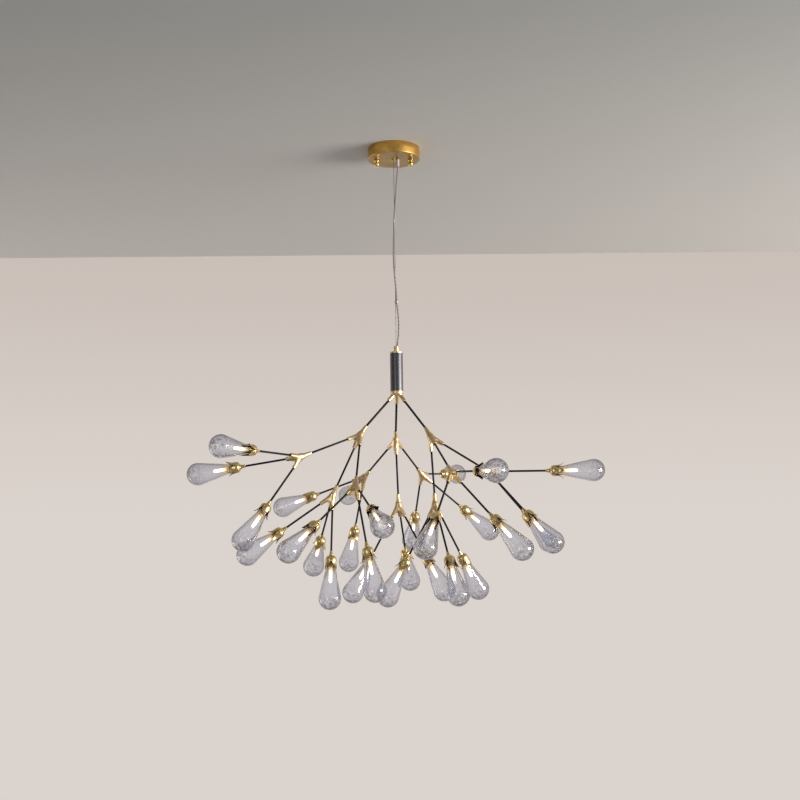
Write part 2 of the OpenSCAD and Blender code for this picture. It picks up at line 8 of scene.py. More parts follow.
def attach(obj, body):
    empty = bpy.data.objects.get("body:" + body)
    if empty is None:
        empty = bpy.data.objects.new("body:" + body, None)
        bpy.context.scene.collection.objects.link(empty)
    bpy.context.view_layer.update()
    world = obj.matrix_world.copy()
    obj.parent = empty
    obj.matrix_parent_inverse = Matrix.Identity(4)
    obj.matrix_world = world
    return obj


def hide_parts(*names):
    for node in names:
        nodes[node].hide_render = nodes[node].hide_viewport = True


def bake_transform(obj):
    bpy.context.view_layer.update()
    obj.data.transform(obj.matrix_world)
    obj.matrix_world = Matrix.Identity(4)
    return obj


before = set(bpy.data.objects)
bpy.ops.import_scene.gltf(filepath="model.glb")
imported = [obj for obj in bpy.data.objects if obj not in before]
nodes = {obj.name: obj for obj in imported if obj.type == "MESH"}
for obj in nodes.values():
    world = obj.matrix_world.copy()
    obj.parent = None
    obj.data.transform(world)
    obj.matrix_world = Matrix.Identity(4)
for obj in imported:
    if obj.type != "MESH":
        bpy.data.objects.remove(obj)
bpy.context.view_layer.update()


# View and light
# A pale room without its furniture: a grey-beige ceiling which the canopy is screwed to, a plain
# floor far below, and daylight from a wide window on the right and a tall one at the front. The
# camera stands 2.8 m in front of the lamp, level with its lowest drops, and looks slightly up.

EYE = np.array([0.0, -2.8, -0.974])
PITCH, YAW, ROLL = np.radians([7.89, 0.14, -0.8])
SENSOR_MM, FRAME_PX, FOCUS_PX, NEAR, FAR = 36.0, 800, 1257.24, 0.05, 50
ROOM_X, ROOM_FRONT, WALL_Y, WALL_SKEW = 3, -4, 0.974, 0.06
CEILING_Z, FLOOR_Z = 0.0005, -2.1
WALL_TONE, WALL_TOP_TONE = (0.71, 0.65, 0.61), (0.585, 0.52, 0.475)
CEILING_PAINTED_SHADE, CEILING_TONE = (0.39, 0.39, 0.375), (0.92, 0.865, 0.81)
SHADE_FROM_Y, SHADE_TO_Y, PAINT_ROUGH = -0.75, 1.25, 0.9
ROOM_TONE, FLOOR_TONE = (0.17, 0.155, 0.14), (0.34, 0.325, 0.31)
WALL_RISE, ROOM_DEPTH = (0.03, 0.27), (0.30, 0.62)
DAYLIGHT_TONE, DAYLIGHT = (0.93, 0.95, 1.0, 1), 0.17


def put(name, data):
    """An object with that data, in the scene."""
    thing = bpy.data.objects.new(name, data)
    bpy.context.scene.collection.objects.link(thing)
    return thing


def standing(axes, place):
    """The frame with those three axes at a place."""
    return Matrix([[*row, p] for row, p in zip(np.array(axes).T, place)] + [[0, 0, 0, 1]])


ahead = np.array([np.sin(YAW) * np.cos(PITCH), np.cos(YAW) * np.cos(PITCH), np.sin(PITCH)])
level = np.array([np.cos(YAW), -np.sin(YAW), 0.0])
upright = np.cross(level, ahead)
right = level * np.cos(ROLL) + upright * np.sin(ROLL)
up = -level * np.sin(ROLL) + upright * np.cos(ROLL)
camera_data = bpy.data.cameras.new("camera")
camera_data.sensor_width = SENSOR_MM
camera_data.lens = SENSOR_MM * FOCUS_PX / FRAME_PX
camera_data.clip_start, camera_data.clip_end = NEAR, FAR
camera = put("camera", camera_data)
camera.matrix_world = standing([right, up, -ahead], EYE)
bpy.context.scene.camera = camera
bpy.context.scene.view_settings.view_transform = "Standard"


def feed(tree, node, inputs):
    """Sets inputs of a node, each to a value or to the socket that feeds it. The keys are numbers,
    identifiers where several sockets share a name, or names."""
    for key, value in inputs.items():
        identifiers = [i.identifier for i in node.inputs]
        target = node.inputs[identifiers.index(key) if key in identifiers else key]
        if isinstance(value, bpy.types.NodeSocket):
            tree.links.new(value, target)
        else:
            target.default_value = value


def add(tree, kind, inputs=None, **settings):
    """A new shader node in a tree, with its settings and then its inputs."""
    node = tree.nodes.new("ShaderNode" + kind)
    for key, value in settings.items():
        setattr(node, key, value)
    feed(tree, node, inputs or {})
    return node


def ramp(tree, value, *stops, interpolation="LINEAR"):
    """The colour that a ramp gives for a value, from stops of a position and a colour."""
    node = add(tree, "ValToRGB", {0: value})
    scale = node.color_ramp
    scale.interpolation = interpolation
    scale.elements[0].position, scale.elements[1].position = stops[0][0], stops[-1][0]
    for position, _ in stops[1:-1]:
        scale.elements.new(position)
    for element, (_, colour) in zip(scale.elements, stops):
        element.color = (*colour, 1)
    return node.outputs[0]


def new_material(name, finish):
    """A node material with its tree and its shader, which gets the finish's values."""
    material = bpy.data.materials.new(name)
    material.use_nodes = True
    tree = material.node_tree
    shader = tree.nodes["Principled BSDF"]
    feed(tree, shader, finish)
    return material, tree, shader


def flat_stage(name, corners, dim, tone):
    """A level rectangle that shows its face only, and is clear from behind. Its colour runs evenly from dim
    to tone between two places along y, which on the ceiling is painted shade."""
    mesh = bpy.data.meshes.new(name)
    mesh.from_pydata(corners, [], [(0, 1, 2, 3)])
    material, tree, shader = new_material(name, {"Roughness": PAINT_ROUGH})
    along = add(tree, "SeparateXYZ", {0: add(tree, "TexCoord").outputs["Object"]}).outputs[1]
    shade_paint = add(tree, "MapRange", {"Vector": along, "From_Min_FLOAT3": (SHADE_FROM_Y,) * 3,
                                   "From_Max_FLOAT3": (SHADE_TO_Y,) * 3, "To_Min_FLOAT3": dim,
                                   "To_Max_FLOAT3": tone}, data_type="FLOAT_VECTOR", clamp=True)
    feed(tree, shader, {"Base Color": shade_paint.outputs["Vector"]})
    mix = add(tree, "MixShader", {0: add(tree, "NewGeometry").outputs["Backfacing"],
                                  1: shader.outputs[0], 2: add(tree, "BsdfTransparent").outputs[0]})
    feed(tree, tree.nodes["Material Output"], {0: mix.outputs[0]})
    mesh.materials.append(material)
    put(name, mesh)


# The ceiling's painted shade: dim towards the front of the room and lighter towards the wall.
flat_stage("ceiling", [(-ROOM_X, ROOM_FRONT, CEILING_Z), (-ROOM_X, WALL_Y - WALL_SKEW, CEILING_Z),
                       (ROOM_X, WALL_Y + WALL_SKEW, CEILING_Z), (ROOM_X, ROOM_FRONT, CEILING_Z)],
           CEILING_PAINTED_SHADE, CEILING_TONE)
flat_stage("floor", [(-ROOM_X, ROOM_FRONT, FLOOR_Z), (ROOM_X, ROOM_FRONT, FLOOR_Z),
                     (ROOM_X, WALL_Y, FLOOR_Z), (-ROOM_X, WALL_Y, FLOOR_Z)], FLOOR_TONE, FLOOR_TONE)

# The eye, also through glass, sees the wall, which darkens with painted shade as the ray rises. Metal
# mirrors a room that darkens towards the camera's side, and all else gets an even daylight.
world = bpy.data.worlds.new("room")
world.use_nodes = True
bpy.context.scene.world = world
tree = world.node_tree
way = add(tree, "SeparateXYZ", {0: add(tree, "TexCoord").outputs["Generated"]}).outputs
wall = tree.nodes["Background"]
feed(tree, wall, {"Color": ramp(tree, way[2], (WALL_RISE[0], WALL_TONE), (WALL_RISE[1], WALL_TOP_TONE),
                                interpolation="EASE")})
daylight = add(tree, "Background", {"Color": DAYLIGHT_TONE, "Strength": DAYLIGHT})
depth = add(tree, "Math", {0: way[1], 1: 0.5, 2: 0.5}, operation="MULTIPLY_ADD").outputs[0]
mirrored = add(tree, "Background", {"Color": ramp(
    tree, depth, (ROOM_DEPTH[0], ROOM_TONE), (ROOM_DEPTH[1], WALL_TONE), interpolation="EASE")})
ray = add(tree, "LightPath").outputs
seen = add(tree, "Math", {0: ray["Is Camera Ray"], 1: ray["Is Transmission Ray"]}, operation="MAXIMUM")
unseen = add(tree, "MixShader", {0: ray["Is Glossy Ray"], 1: daylight.outputs[0], 2: mirrored.outputs[0]})
shown = add(tree, "MixShader", {0: seen.outputs[0], 1: unseen.outputs[0], 2: wall.outputs[0]})
feed(tree, tree.nodes["World Output"], {0: shown.outputs[0]})


def soft_light(name, place, aim, size, watts, tone):
    """A rectangular lamp at a place, turned to a point. It isn't seen through the glass."""
    data = bpy.data.lights.new(name, "AREA")
    data.shape = "RECTANGLE"
    data.size, data.size_y = size
    data.energy, data.color = watts, tone
    lamp = put(name, data)
    lamp.visible_transmission = False
    back = np.array(place, float) - np.array(aim, float)
    back /= np.linalg.norm(back)
    side = np.cross((0, 0, 1), back)
    side /= np.linalg.norm(side)
    lamp.matrix_world = standing([side, np.cross(back, side), back], place)


soft_light("window_right", (4.0, -1.6, -0.75), (0, 0, -0.5), (2.6, 1.1), 300, (1.0, 0.98, 0.96))
soft_light("window_front", (-1.5, -3.1, -0.9), (0, 0, -0.8), (0.8, 2.0), 18, (0.96, 0.97, 1.0))
soft_light("low_left", (-2.2, 0.8, -1.6), (0, 0, -0.8), (1.0, 1.0), 10, (1.0, 0.97, 0.93))


# Cable and supply cord
# A 1.5 mm stranded steel cable carries the lamp. The supply cord, 3.6 mm with a clear skin over
# two twisted conductors, hangs beside it from its clear sleeve in the canopy down to the gland,
# crosses its front once, and two small clear ties hold it to the cable.

CABLE_D, CABLE_RINGS, CABLE_SIDES = 0.0015, 60, 12
CORD_D, CORD_STEPS, CORD_SIDES = 0.0036, 8, 16
PIVOT_Z, CAP_Z, GRIPPER_Z, GRIPPER_TOP = -0.023, -0.48, -0.477, -0.463
CABLE_END_Z, BLEND_START, BLEND_END = -0.497, (0, 0, -0.05), (0, 0, GRIPPER_TOP)
CORD_ROUTE = 0.001 * np.array([
    (9, 0, -20), (9, 0, -48), (7.6, -0.6, -62), (5.6, -1.6, -84), (4.4, -2.4, -104),
    (2.8, -3, -122), (0.6, -3.4, -148), (-1, -2.9, -172), (-2.2, -3.2, -206), (-3.2, -3.2, -240),
    (-3, -3.4, -272), (-0.6, -3.6, -308), (1.8, -2.6, -338), (2.8, -1, -361), (5.2, 0.4, -388),
    (6.4, 1, -412), (5.6, 0.8, -436), (3.4, 0, -456), (3.2, 0, -470)])


def smooth_route(points, steps):
    """Catmull-Rom curve through the points, with that many steps to a span: half of
    2b + (c-a)t + (2a-5b+4c-d)t^2 + (3b-a-3c+d)t^3 for four neighbours a, b, c, d."""
    p = np.vstack([points[:1], points, points[-1:]])
    t = (np.arange(steps) / steps)[None, :, None]
    a, b, c, d = p[:-3, None], p[1:-2, None], p[2:-1, None], p[3:, None]
    line = 0.5 * (2 * b + (c - a) * t + (2 * a - 5 * b + 4 * c - d) * t ** 2
                  + (3 * b - a - 3 * c + d) * t ** 3)
    return np.vstack([line.reshape(-1, 3), points[-1:]])


def placed(points, at):
    """Points turned and moved by a frame's matrix."""
    return points @ at[:3, :3].T + at[:3, 3]


def smooth_piece(name, points, polygons, material):
    """A smooth-shaded mesh of points and polygons, in the scene."""
    mesh = bpy.data.meshes.new(name)
    mesh.from_pydata(points.tolist(), [], polygons)
    mesh.shade_smooth()
    mesh.materials.append(material)
    return put(name, mesh)


def surface(name, grid, material, frames=None, marks=None, along=None):
    """A piece from a grid of points whose rows close on themselves, set once into each frame. Equal
    points are welded, so a row drawn in to a point becomes a pole of triangles. UV run is the share
    of a turn, and along it the share of the rows or the distances given; marks gives named values
    on the grid, which the mesh keeps as point attributes."""
    rows, sides = grid.shape[:2]
    r, c = (n.ravel() for n in np.meshgrid(np.arange(rows - 1), np.arange(sides), indexing="ij"))
    d = (c + 1) % sides
    faces = np.stack([r * sides + c, r * sides + d, (r + 1) * sides + d, (r + 1) * sides + c], -1)
    height = np.arange(rows) / (rows - 1) if along is None else along
    run = np.stack([np.stack([c, c + 1, c + 1, c], -1) / sides,
                    np.stack([height[r], height[r], height[r + 1], height[r + 1]], -1)], -1)
    flat = grid.reshape(-1, 3)
    _, first, index = np.unique(np.round(flat * 1e7).astype(np.int64), axis=0, return_index=True,
                                return_inverse=True)
    flat, faces = flat[first], index.ravel()[faces]
    low, high = faces[:, 0] == faces[:, 1], faces[:, 2] == faces[:, 3]
    kinds = ((~low & ~high, [0, 1, 2, 3]), (low & ~high, [0, 2, 3]), (high & ~low, [0, 1, 2]))
    frames = [np.eye(4)] if frames is None else frames
    polygons, corners = [], []
    for n in range(len(frames)):
        for kind, corner in kinds:
            polygons += (faces[kind][:, corner] + n * len(flat)).tolist()
            corners.append(run[kind][:, corner].reshape(-1, 2))
    thing = smooth_piece(name, np.concatenate([placed(flat, at) for at in frames]), polygons, material)
    layer = thing.data.uv_layers.new(name="run")
    layer.data.foreach_set("uv", np.concatenate(corners).astype(np.float32).ravel())
    for key, value in (marks or {}).items():
        attribute = thing.data.attributes.new(key, "FLOAT", "POINT")
        attribute.data.foreach_set("value", np.tile(value.ravel()[first], len(frames)).astype(np.float32))
    return thing


def tube(name, line, radius, sides, material):
    """A closed tube: a ring of that radius round each point of the line, square to its direction,
    and both ends drawn in to a point. UV run is turns round it and metres along it."""
    heading = np.gradient(line, axis=0)
    heading /= np.linalg.norm(heading, axis=1)[:, None]
    first = np.cross((0, 1, 0), heading)
    first /= np.linalg.norm(first, axis=1)[:, None]
    second = np.cross(heading, first)
    turn = 2 * np.pi * np.arange(sides)[None, :, None] / sides
    ring = line[:, None] + radius * (np.cos(turn) * first[:, None] + np.sin(turn) * second[:, None])
    along = np.concatenate([[0], np.cumsum(np.linalg.norm(np.diff(line, axis=0), axis=1))])
    ends = np.repeat(line[[0, -1], None], sides, 1)
    grid = np.concatenate([ends[:1], ring, ends[1:]])
    return surface(name, grid, material, along=np.concatenate([along[:1], along, along[-1:]]))


def twist(tree, strands, turns):
    """Waves across the strands of a twisted cord: half of 1 + sin(2 pi s (u + t v)) for s strands
    and t turns a metre, with u the share of a turn round the cord and v the metres along it."""
    run = add(tree, "UVMap", uv_map="run").outputs[0]
    slant = add(tree, "VectorMath", {0: run, 1: (1, turns, 0)}, operation="DOT_PRODUCT").outputs["Value"]
    angle = add(tree, "Math", {0: slant, 1: 2 * np.pi * strands}, operation="MULTIPLY").outputs[0]
    wave = add(tree, "Math", {0: angle}, operation="SINE").outputs[0]
    return add(tree, "Math", {0: wave, 1: 0.5, 2: 0.5}, operation="MULTIPLY_ADD").outputs[0]


def raised(tree, shader, height, distance, strength):
    """Gives a surface the relief of a height, times a distance in metres."""
    bump = add(tree, "Bump", {"Height": height, "Distance": distance, "Strength": strength})
    feed(tree, shader, {"Normal": bump.outputs[0]})


steel_strands, tree, shader = new_material("steel_strands", {"Metallic": 1.0, "Roughness": 0.34})
# The grooves between the steel strands are darker and their crowns lighter: painted shade, with a bump of
# the same waves.
lines = twist(tree, strands=6, turns=130)
feed(tree, shader, {"Base Color": ramp(tree, lines, (0, (0.09, 0.09, 0.095)), (0.7, (0.46, 0.45, 0.44)))})
raised(tree, shader, lines, 0.0001, 0.6)
cord_skin, tree, shader = new_material("clear_cord_skin", {
    "Roughness": 0.16, "Coat Weight": 0.8, "Coat Roughness": 0.06, "Specular IOR Level": 0.6})
# The cord's two twisted conductors show lighter crowns and darker grooves between them: painted shade.
lines = twist(tree, strands=2, turns=60)
feed(tree, shader, {"Base Color": ramp(tree, lines, (0, (0.13, 0.105, 0.105)),
                                       (0.45, (0.22, 0.18, 0.175)), (1, (0.38, 0.33, 0.315)))})
cable_line = np.array([(0, 0, z) for z in np.linspace(PIVOT_Z, CABLE_END_Z, CABLE_RINGS)])
cable = tube("steel_cable", cable_line, CABLE_D / 2, CABLE_SIDES, steel_strands)
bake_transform(cable)
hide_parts("suspension_cable")

cord_line = smooth_route(CORD_ROUTE, CORD_STEPS)
cord = tube("supply_cord", cord_line, CORD_D / 2, CORD_SIDES, cord_skin)
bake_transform(cord)
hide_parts("power_cord")


# Ceiling bracket, studs and terminal block
# A zinc-plated steel strap screwed to the ceiling box, two hanging studs with hexagon heads, and a
# white terminal block. All of it is hidden in the canopy and keeps its modelled shape. The marks
# of handling, which every metal piece carries, are a group of nodes made here.

def mixed(tree, share, a, b, blend="MIX"):
    """Colour a with a share of colour b, which covers it or multiplies it."""
    mix = add(tree, "Mix", data_type="RGBA", blend_type=blend)
    feed(tree, mix, {"Factor_Float": share, "A_Color": a, "B_Color": b})
    return mix.outputs[[o.identifier for o in mix.outputs].index("Result_Color")]


def metal_marks():
    """Node group: patches, grain and scratches from Object coordinates, mixed into a colour, a
    roughness and a height between the values that each material gives."""
    group = bpy.data.node_groups.new("metal_marks", "ShaderNodeTree")
    for way, kind, names in (("INPUT", "Color", ("Light", "Dark")),
                             ("INPUT", "Float", ("Smooth", "Rough", "Patch Scale", "Grain Scale")),
                             ("OUTPUT", "Color", ("Color",)), ("OUTPUT", "Float", ("Roughness", "Height"))):
        for name in names:
            group.interface.new_socket(name, in_out=way, socket_type="NodeSocket" + kind)
    given = group.nodes.new("NodeGroupInput").outputs
    at = add(group, "TexCoord").outputs["Object"]
    patch = add(group, "TexNoise", {"Vector": at, "Scale": given["Patch Scale"], "Detail": 4,
                                    "Roughness": 0.62}).outputs[0]
    grain = add(group, "TexNoise", {"Vector": at, "Scale": given["Grain Scale"], "Detail": 2}).outputs[0]
    stretch = add(group, "Mapping", {"Vector": at, "Rotation": (0.5, 0.9, 0.3), "Scale": (90, 1500, 1500)})
    scratch = add(group, "TexNoise", {"Vector": stretch.outputs[0], "Scale": 1.0}).outputs[0]
    clear = add(group, "MapRange", {"Value": patch, "From Min": 0.35, "From Max": 0.7}).outputs[0]
    share = add(group, "Math", {0: grain, 1: 0.25, 2: clear}, operation="MULTIPLY_ADD").outputs[0]
    dull = add(group, "MapRange", {"Value": patch, "From Min": 0.3, "From Max": 0.85,
                                   "To Min": given["Rough"], "To Max": given["Smooth"]}).outputs[0]
    height = add(group, "Math", {0: scratch, 1: 0.4, 2: grain}, operation="MULTIPLY_ADD").outputs[0]
    feed(group, group.nodes.new("NodeGroupOutput"), {
        "Color": mixed(group, share, given["Dark"], given["Light"]), "Roughness": dull, "Height": height})
    return group


marks_group = metal_marks()


def marked_metal(name, light, dark, smooth, rough, patch=60.0, grain=1800.0, metallic=1.0,
                 relief=0.00002):
    """A material with the marks of the group, its tree, its shader and the marks' colour."""
    material, tree, shader = new_material(name, {"Metallic": metallic})
    marks = add(tree, "Group", node_tree=marks_group)
    feed(tree, marks, {"Light": (*light, 1), "Dark": (*dark, 1), "Smooth": smooth, "Rough": rough,
                       "Patch Scale": patch, "Grain Scale": grain})
    feed(tree, shader, {"Base Color": marks.outputs["Color"], "Roughness": marks.outputs["Roughness"]})
    raised(tree, shader, marks.outputs["Height"], relief, 0.5)
    return material, tree, shader, marks.outputs["Color"]


zinc, *_ = marked_metal("zinc_plate", (0.66, 0.67, 0.69), (0.44, 0.45, 0.48), 0.3, 0.5,
                        patch=140, grain=900)
terminal_white, *_ = marked_metal("terminal_plastic", (0.83, 0.81, 0.75), (0.74, 0.71, 0.64), 0.42, 0.55,
                                  metallic=0.0)
for node, finish in (("ceiling_bracket", zinc), ("bracket_studs", zinc), ("gripper_nut", zinc),
                     ("cable_ball", zinc), ("terminal_block", terminal_white),
                     ("stem_connector", terminal_white)):
    nodes[node].data.materials.clear()
    nodes[node].data.materials.append(finish)


# Canopy
# A round cup of 1.2 mm brass sheet, 120 mm across and 26 mm deep, spun and then brushed round its axis:
# fine rings on the floor and level lines on the wall, with a bright line on its lower edge. The outer face
# of the floor is darkened by painted shade up to that line.
# The two cap nuts hold it against the ceiling.

CANOPY_R, CANOPY_H, SHEET, EDGE_R, CANOPY_SIDES = 0.060, 0.026, 0.0012, 0.0017, 160
FLOOR_ROWS, WALL_ROW, RIM, LINE_H, BEND_ROWS = (0.02, 0.045), 0.012, 0.0002, 0.00102, 10


def turned_grid(profile, sides):
    """Points of a turned piece: each (radius, height) of the section carried round the z axis."""
    turn = 2 * np.pi * np.arange(sides) / sides
    p = np.asarray(profile, float)
    return np.stack([p[:, :1] * np.cos(turn), p[:, :1] * np.sin(turn),
                     np.broadcast_to(p[:, 1:], (len(p), sides))], -1)


def piece(thing, body, slot, *stands_for):
    """Sets a piece on its body, and hides the nodes that it stands for. The slot, a finish's name, is not
    used.
    """
    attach(thing, body)
    if stands_for:
        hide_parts(*stands_for)
    return thing


def mark(tree, name):
    """The value that a mesh keeps at its points under a name."""
    return add(tree, "Attribute", attribute_name=name).outputs["Fac"]


def brushed_brass(name, light, dark):
    """Sheet brass brushed round the z axis: noise stretched along the circles, from the radius, the height
    and, far more slowly, the direction round the axis. Its lower face is darkened by painted shade."""
    material, tree, shader, colour = marked_metal(name, light, dark, 0.26, 0.40, patch=35, grain=1200)
    at = add(tree, "TexCoord").outputs["Object"]
    height = add(tree, "SeparateXYZ", {0: at}).outputs[2]
    flat = add(tree, "VectorMath", {0: at, 1: (1, 1, 0)}, operation="MULTIPLY").outputs[0]
    radius = add(tree, "VectorMath", {0: flat}, operation="LENGTH").outputs["Value"]
    way = add(tree, "VectorMath", {0: flat}, operation="NORMALIZE").outputs[0]
    rings = add(tree, "CombineXYZ", {0: radius, 1: add(tree, "SeparateXYZ", {0: way}).outputs[0],
                                     2: height}).outputs[0]
    drawn = add(tree, "VectorMath", {0: rings, 1: (2600, 8, 2600)}, operation="MULTIPLY").outputs[0]
    lines = add(tree, "TexNoise", {"Vector": drawn, "Scale": 1.0, "Detail": 3}).outputs[0]
    dull = add(tree, "MapRange", {"Value": lines, "To Min": 0.22, "To Max": 0.5}).outputs[0]
    grey = add(tree, "MapRange", {"Value": lines, "From Min": 0.3, "From Max": 0.7, "To Min": 0.62,
                                  "To Max": 1.08}).outputs[0]
    lined = mixed(tree, 0.55, colour, grey, "MULTIPLY")
    # Painted shade: the face that looks down is multiplied darker where the mark is set.
    shaded_below = mixed(tree, mark(tree, "underside_shade"), lined, (0.52, 0.55, 0.66, 1), "MULTIPLY")
    feed(tree, shader, {"Roughness": dull, "Base Color": shaded_below})
    raised(tree, shader, lines, 0.00003, 0.6)
    return material


canopy_finish = brushed_brass("brushed_canopy_brass", (0.80, 0.49, 0.13), (0.55, 0.33, 0.085))
bend = np.radians(np.linspace(0, -90, BEND_ROWS))
outer_bend, inner_bend = (np.stack([CANOPY_R - EDGE_R + r * np.cos(bend),
                                    -CANOPY_H + EDGE_R + r * np.sin(bend)], -1)
                          for r in (EDGE_R, EDGE_R - SHEET))
canopy_section = np.vstack([[(r, -CANOPY_H) for r in (0, *FLOOR_ROWS)], outer_bend[::-1],
                            [(CANOPY_R, -WALL_ROW), (CANOPY_R, -RIM), (CANOPY_R - RIM, 0),
                             (CANOPY_R - SHEET + RIM, 0), (CANOPY_R - SHEET, -RIM),
                             (CANOPY_R - SHEET, -WALL_ROW)], inner_bend,
                            [(r, SHEET - CANOPY_H) for r in (*FLOOR_ROWS[::-1], 0)]])
canopy_grid = turned_grid(canopy_section, CANOPY_SIDES)
underside_shade = np.clip((LINE_H - CANOPY_H - canopy_grid[..., 2]) / LINE_H, 0, 1)
piece(surface("canopy", canopy_grid, canopy_finish, marks={"underside_shade": underside_shade}), "ceiling_part",
      "canopy_brass", "canopy_cup")


# Cap nuts, cable fitting and cord sleeve
# Two small turned brass nuts screw onto the studs: a wide seat, a grooved waist and a domed end.
# In the middle a small brass bush carries the cable's ball, and a clear sleeve beside it protects
# the cord where it leaves the sheet.

NUT_X, NUT_GAP, SLEEVE_SIDES, BRASS_SIDES = 0.039, 0.0001, 28, 40


def crisp(profile, gap=0.00012):
    """A section whose corners keep their edge under smooth shading: a point is added a short way
    before and after each corner, on the lines that meet there."""
    p = np.asarray(profile, float)
    ahead = np.diff(p, axis=0)
    length = np.linalg.norm(ahead, axis=1)[:, None]
    step = np.minimum(gap, length / 3) * ahead / length
    return np.vstack([p[:1]] + [q for n in range(1, len(p) - 1)
                                for q in (p[n] - step[n - 1], p[n], p[n] + step[n])] + [p[-1:]])


def moved(x, y, z):
    """Frame moved by x, y and z."""
    return np.array(Matrix.Translation((x, y, z)))


turned_brass, *_ = marked_metal("turned_brass", (0.80, 0.57, 0.22), (0.62, 0.42, 0.13), 0.16, 0.30,
                                patch=180, grain=2400)
nut_section = crisp(0.001 * np.array([
    (0, -16.0), (2.0, -15.7), (4.1, -14.7), (5.4, -12.6), (5.8, -10.2), (5.6, -7.4), (4.1, -6.2),
    (4.1, -4.6), (5.6, -3.4), (6.4, -2.6), (6.4, -0.5), (6.0, 0), (0, 0)]))
for side, x in (("left", -NUT_X), ("right", NUT_X)):
    piece(surface(f"{side}_cap_nut_turned", turned_grid(nut_section, BRASS_SIDES), turned_brass,
                  [moved(x, 0, -CANOPY_H - NUT_GAP)]), f"{side}_nut", "satin_brass", f"{side}_cap_nut")

bush_section = crisp(0.001 * np.array([
    (2.0, -29.1), (3.6, -29.1), (4.2, -28.5), (4.2, -26.8), (3.9, -26.1), (3.7, -26.1), (3.7, -19.0),
    (2.6, -19.0), (2.6, -22.6), (2.0, -25.0), (2.0, -29.1)]))
piece(surface("cable_bush", turned_grid(bush_section, BRASS_SIDES), turned_brass), "ceiling_part",
      "satin_brass", "cable_fitting")


def noise(tree, scale, detail=2.0):
    """Noise on a piece's own coordinates, from 0 to 1."""
    at = add(tree, "TexCoord").outputs["Object"]
    return add(tree, "TexNoise", {"Vector": at, "Scale": scale, "Detail": detail}).outputs[0]


clear_plastic, tree, shader = new_material("clear_plastic", {
    "Roughness": 0.12, "IOR": 1.45, "Transmission Weight": 0.45})
feed(tree, shader, {"Base Color": ramp(tree, noise(tree, 420), (0, (0.60, 0.52, 0.50)),
                                       (1, (0.80, 0.72, 0.70)))})
sleeve_section = crisp(0.001 * np.array([
    (2.1, -43.0), (3.6, -43.0), (4.0, -42.4), (4.0, -30.0), (3.8, -21.0), (2.1, -21.0), (2.1, -43.0)]))
piece(surface("clear_sleeve", turned_grid(sleeve_section, SLEEVE_SIDES), clear_plastic,
              [moved(CORD_ROUTE[0][0], 0, 0)]), "suspension", "cord_skin", "cord_sleeve")


# Cord ties
# Two clear nylon ties, 6 mm high, each pinched between the cable and the cord so that it holds
# both in its two loops.

TIE_H, TIE_PAST, TIE_DEEP, TIE_MIDDLE, TIE_WAIST, TIE_SIDES = 0.006, 0.0017, 0.0023, 0.58, 0.62, 48
TIE_WALL = 0.001 * np.array([0, 0.35, 0.6, 0.6, 0.35, 0, 0])[:, None]
TIE_RISE = np.array([0, -0.06, 0, 1, 1.06, 1, 0])[:, None]
TIED_AT = CORD_ROUTE[[7, 13]]


def turned(axis, degrees):
    """Frame turned about Y or Z."""
    return np.array(Matrix.Rotation(np.radians(degrees), 4, axis))


def tie_grid(gap):
    """Band round a cable on the axis and a cord beside it, a gap apart: an oval whose depth is drawn
    in at the middle by a waist w to w + (1 - w) cos^2 of the turn, with a wall on both sides and
    rounded rims."""
    turn = 2 * np.pi * np.arange(TIE_SIDES) / TIE_SIDES
    x = gap * TIE_MIDDLE + (gap / 2 + TIE_PAST + TIE_WALL) * np.cos(turn)
    y = (TIE_DEEP + TIE_WALL) * np.sin(turn) * (TIE_WAIST + (1 - TIE_WAIST) * np.cos(turn) ** 2)
    return np.stack([x, y, np.broadcast_to(TIE_H * (TIE_RISE - 0.5), x.shape)], -1)


for n, tie in enumerate(TIED_AT):
    grid = tie_grid(np.hypot(tie[0], tie[1]))
    at = moved(0, 0, tie[2]) @ turned("Z", np.degrees(np.arctan2(tie[1], tie[0])))
    band = surface(f"cord_tie_{'ab'[n]}", grid, clear_plastic, [at])
    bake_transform(band)
    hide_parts("cord_ties")


# Cable gripper, stem and its cap
# A turned brass gland of 11.6 mm grips the cable on top of the stem. Under it a 3 mm brass disc
# closes the stem, a steel tube of 29.2 mm, 86 mm long, in satin black enamel.

GLAND_SIDES, RIB_DEPTH, RIBS_FROM, RIBS_TO = 120, 0.018, 0.0005, 0.0047
STEM_R, STEM_WALL, HUB_Z, STEM_SIDES, CHAMFER, TUBE_GAP = 0.0146, 0.0014, -0.566, 96, 0.0002, 0.0001
SPIGOT_R, SPIGOT_H, CAP_BEVEL, CAP_ROW = 0.0137, 0.0058, 0.0004, 0.006
satin_brass, *_ = marked_metal("satin_cast_brass", (0.76, 0.59, 0.35), (0.54, 0.395, 0.21), 0.34, 0.46,
                               patch=70, grain=1500, relief=0.000004)
stem_black, tree, shader, _ = marked_metal("black_enamel", (0.014, 0.012, 0.015), (0.009, 0.008, 0.010),
                                           0.34, 0.40, patch=25, grain=140, metallic=0.0,
                                           relief=0.0000002)
feed(tree, shader, {"Specular IOR Level": 0.85, "Coat Weight": 0.8, "Coat Roughness": 0.32,
                    "Coat Tint": (0.94, 0.90, 1.0, 1)})
rib = 1 - RIB_DEPTH * (np.arange(GLAND_SIDES) % 3 == 0)
gland_section = crisp(0.001 * np.array([
    (0, 0.1), (5.6, 0.1), (5.8, 0.4), (5.8, 4.8), (5.0, 5.6), (5.0, 6.6), (5.6, 7.2), (5.5, 12.8),
    (5.1, 14.0), (2.6, 14.0), (0, 13.6)]))
gland = turned_grid(gland_section, GLAND_SIDES)
ribbed = (gland[..., 2] < RIBS_TO) & (gland[..., 2] > RIBS_FROM)
gland[..., :2] *= np.where(ribbed, rib[None, :], 1)[..., None]
piece(surface("gripper_gland", gland, satin_brass, [moved(0, 0, GRIPPER_Z)]), "gripper", "satin_brass",
      "cable_gripper")

